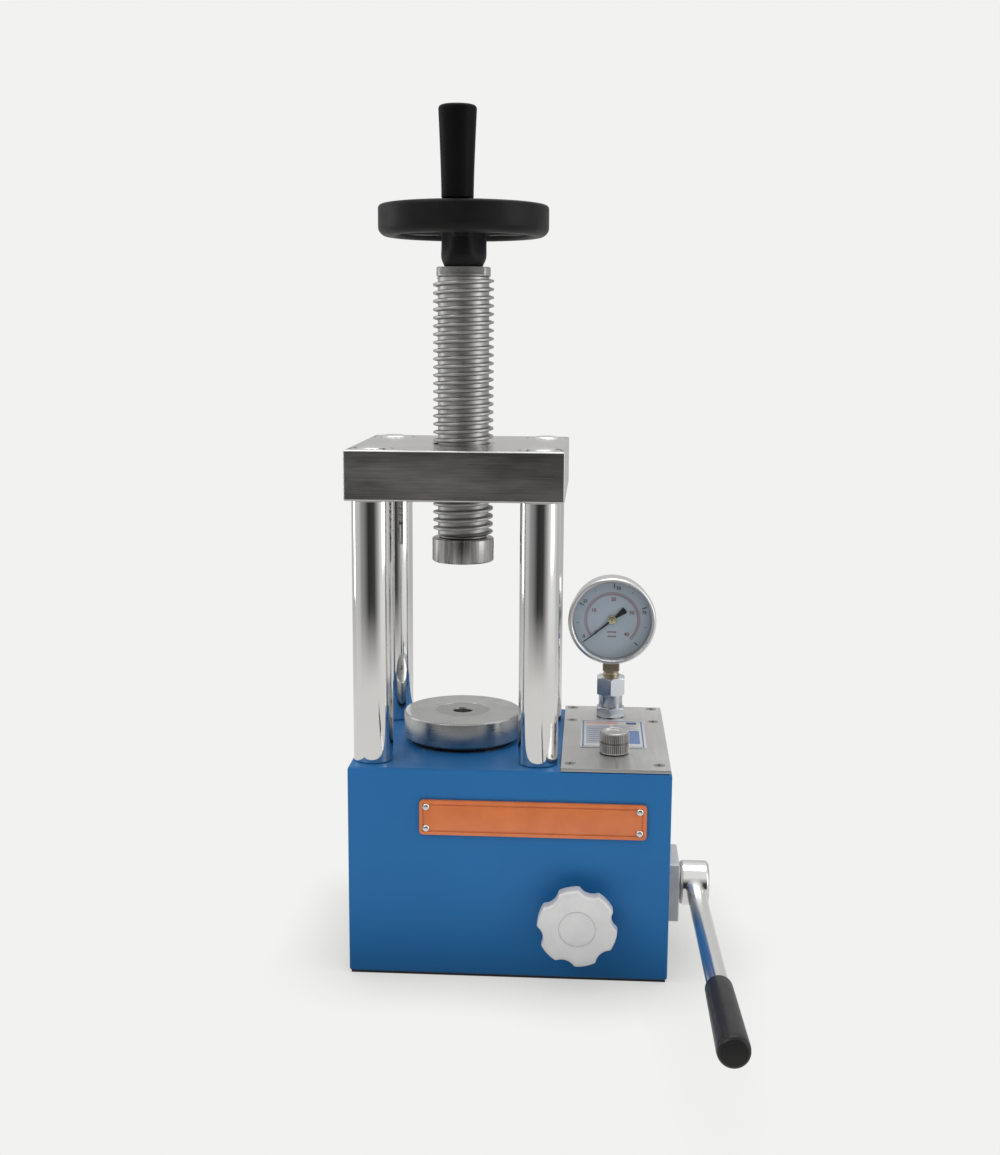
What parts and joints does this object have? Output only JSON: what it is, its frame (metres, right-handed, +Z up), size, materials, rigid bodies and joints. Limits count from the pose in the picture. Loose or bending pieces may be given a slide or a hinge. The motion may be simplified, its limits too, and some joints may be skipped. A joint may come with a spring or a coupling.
{
  "type": "tablet press",
  "caption": "Manual hydraulic bench press with guide columns, a hand-wheel lead screw, a pump lever, a release valve and a pressure gauge.",
  "frame": {"origin": "on the surface that the press stands on, under the common axis of the ram and the lead screw", "axes": "+Z up along the ram and the screw, +X to the operator's right towards the pump lever's side, +Y away from the operator"},
  "size_m": [0.2688, 0.4375, 0.6224],
  "materials": {
    "blue_paint": "smooth satin powder coat",
    "black_rubber": "plain rubber",
    "plain_steel": "machined, oiled steel",
    "black_oxide": "blackened steel",
    "orange_enamel": "satin orange enamel",
    "bright_fasteners": "bright drawn aluminium",
    "hard_chrome": "polished hard chrome",
    "ground_steel": "surface-ground steel",
    "turned_steel": "turned bright steel",
    "black_plastic": "satin moulded thermoset",
    "grip_rubber": "matt moulded grip",
    "satin_stainless": "fine brushed stainless",
    "label_print": "printed film label",
    "zinc_plate": "bright zinc plate",
    "dull_brass": "tarnished brass",
    "polished_stainless": "polished stainless",
    "clear_glass": "flat clear glass",
    "dial_face": "matt printed dial",
    "pointer_black": "matt black",
    "silver_satin": "satin silver",
    "knurled_steel": "straight knurl, nickel plated",
    "pump_casting": "grey machined casting"
  },
  "bodies": {
    "root": {"base_pad": "black_rubber", "housing": "blue_paint", "bottom_cover": "plain_steel", "bottom_cover_screws": "black_oxide", "nameplate": "orange_enamel", "nameplate_rivets": "bright_fasteners", "cylinder_barrel": "plain_steel", "cylinder_end_cap": "plain_steel", "cylinder_screws": "black_oxide", "ram_wiper": "black_rubber", "column_front_left": "hard_chrome", "column_front_right": "hard_chrome", "column_rear_left": "hard_chrome", "column_rear_right": "hard_chrome", "column_cap_nuts": "ground_steel", "crosshead": "ground_steel", "screw_bush": "turned_steel", "top_plate": "satin_stainless", "top_plate_screws": "satin_stainless", "top_plate_gasket": "black_rubber", "data_label": "label_print", "gauge_adapter": "zinc_plate", "gauge_coupling": "zinc_plate", "gauge_socket": "dull_brass", "gauge_case": "polished_stainless", "gauge_bezel": "polished_stainless", "gauge_glass": "clear_glass", "gauge_dial": "dial_face", "bourdon_tube": "dull_brass", "pressure_pipes": "turned_steel", "filler_neck": "turned_steel", "valve_block": "plain_steel", "valve_gland_nut": "zinc_plate", "pump_block": "pump_casting", "check_valves": "turned_steel", "drain_plug": "pump_casting"},
    "ram": {"ram": "hard_chrome", "ram_seal": "black_rubber", "platen": "ground_steel"},
    "anvil": {"anvil": "turned_steel", "anvil_grub_screws": "black_oxide"},
    "screw": {"lead_screw": "turned_steel", "handwheel": "black_plastic", "handwheel_screw": "black_oxide", "handle_spindle": "turned_steel"},
    "handle": {"revolving_handle": "black_plastic"},
    "lever": {"lever_shaft": "turned_steel", "crank_arm": "plain_steel", "shaft_washer": "plain_steel", "lever_boss": "hard_chrome", "lever_rod": "hard_chrome", "lever_grip": "grip_rubber"},
    "plunger": {"pump_plunger": "turned_steel"},
    "valve_ball": {"valve_ball": "turned_steel"},
    "valve_knob": {"valve_spindle": "turned_steel", "valve_knob": "silver_satin"},
    "filler_seal": {"filler_seal": "black_rubber"},
    "filler_cap": {"filler_cap": "knurled_steel"},
    "pointer": {"gauge_pointer": "pointer_black"}
  },
  "joints": [
    {"name": "ram_lift", "type": "slide", "parent": "root", "child": "ram", "axis": [0, 0, 1], "range_m": [0, 0.02]},
    {"name": "screw_lift", "type": "slide", "parent": "root", "child": "anvil", "axis": [0, 0, 1], "range_m": [-0.093, 0.03]},
    {"name": "screw_turn", "type": "hinge", "parent": "anvil", "child": "screw", "pos_m": [0, 0, 0.4], "axis": [0, 0, 1], "range_deg": [-5580, 1800]},
    {"name": "handle_spin", "type": "hinge", "parent": "screw", "child": "handle", "pos_m": [0, -0.0487, 0.58], "axis": [0, 0, 1], "continuous": true},
    {"name": "pump_lever", "type": "hinge", "parent": "root", "child": "lever", "pos_m": [0.1798, -0.015, 0.051], "axis": [1, 0, 0], "range_deg": [-60, 10]},
    {"name": "plunger_stroke", "type": "slide", "parent": "root", "child": "plunger", "axis": [0, 0, 1], "range_m": [-0.0024, 0.0139]},
    {"name": "valve_travel", "type": "slide", "parent": "root", "child": "valve_ball", "axis": [0, -1, 0], "range_m": [0, 0.00187]},
    {"name": "valve_turn", "type": "hinge", "parent": "valve_ball", "child": "valve_knob", "pos_m": [0.0913, -0.1, 0.0492], "axis": [0, -1, 0], "range_deg": [0, 540]},
    {"name": "cap_rise", "type": "slide", "parent": "root", "child": "filler_seal", "axis": [0, 0, 1], "range_m": [0, 0.006]},
    {"name": "cap_turn", "type": "hinge", "parent": "filler_seal", "child": "filler_cap", "pos_m": [0.1165, -0.04, 0.17], "axis": [0, 0, 1], "range_deg": [0, 1440]},
    {"name": "pointer_turn", "type": "hinge", "parent": "root", "child": "pointer", "pos_m": [0.1146, 0.055, 0.2415], "axis": [0, 1, 0], "range_deg": [0, 264], "stiffness_Nm_per_rad": 0.001, "springref_deg": -17.19}
  ],
  "couplings": [
    {"joint": "screw_lift", "follows": "screw_turn", "m_per_rad": 0.00095493},
    {"joint": "plunger_stroke", "follows": "pump_lever", "m_per_rad": -0.01315},
    {"joint": "valve_travel", "follows": "valve_turn", "m_per_rad": 0.00019894},
    {"joint": "cap_rise", "follows": "cap_turn", "m_per_rad": 0.00023873}
  ]
}
